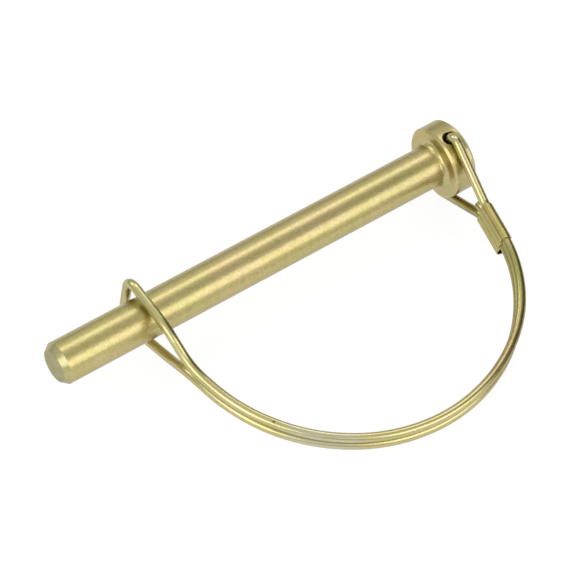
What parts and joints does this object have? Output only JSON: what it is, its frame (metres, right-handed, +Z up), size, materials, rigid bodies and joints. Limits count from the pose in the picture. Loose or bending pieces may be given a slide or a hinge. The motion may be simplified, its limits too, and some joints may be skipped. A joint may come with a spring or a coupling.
{
  "type": "wire lock pin",
  "caption": "Round headed steel locking pin with a double spring wire bail through its head, which snaps round the free end of the shank to hold it in its hole.",
  "frame": {"origin": "on the pin's axis, in the plane of the shoulder under the head", "axes": "+X along the shank to its free end, +Y from the pin towards the bail's arc, +Z up from the surface that the part lies on"},
  "size_m": [0.1044, 0.0605, 0.0211],
  "materials": {
    "pin_zinc": "satin yellow zinc plate on turned steel",
    "wire_zinc": "semi-bright yellow zinc plate on drawn spring wire",
    "ferrule_zinc": "satin yellow zinc plate on pressed steel"
  },
  "bodies": {
    "pin": {"pin": "pin_zinc"},
    "bail": {"bail_wire": "wire_zinc", "ferrule": "ferrule_zinc"}
  },
  "joints": [
    {"name": "bail_swing", "type": "hinge", "parent": "pin", "child": "bail", "pos_m": [-0.0029, 0, 0], "axis": [0, 0.1701, 0.9854], "range_deg": [-4, 0.5]}
  ]
}
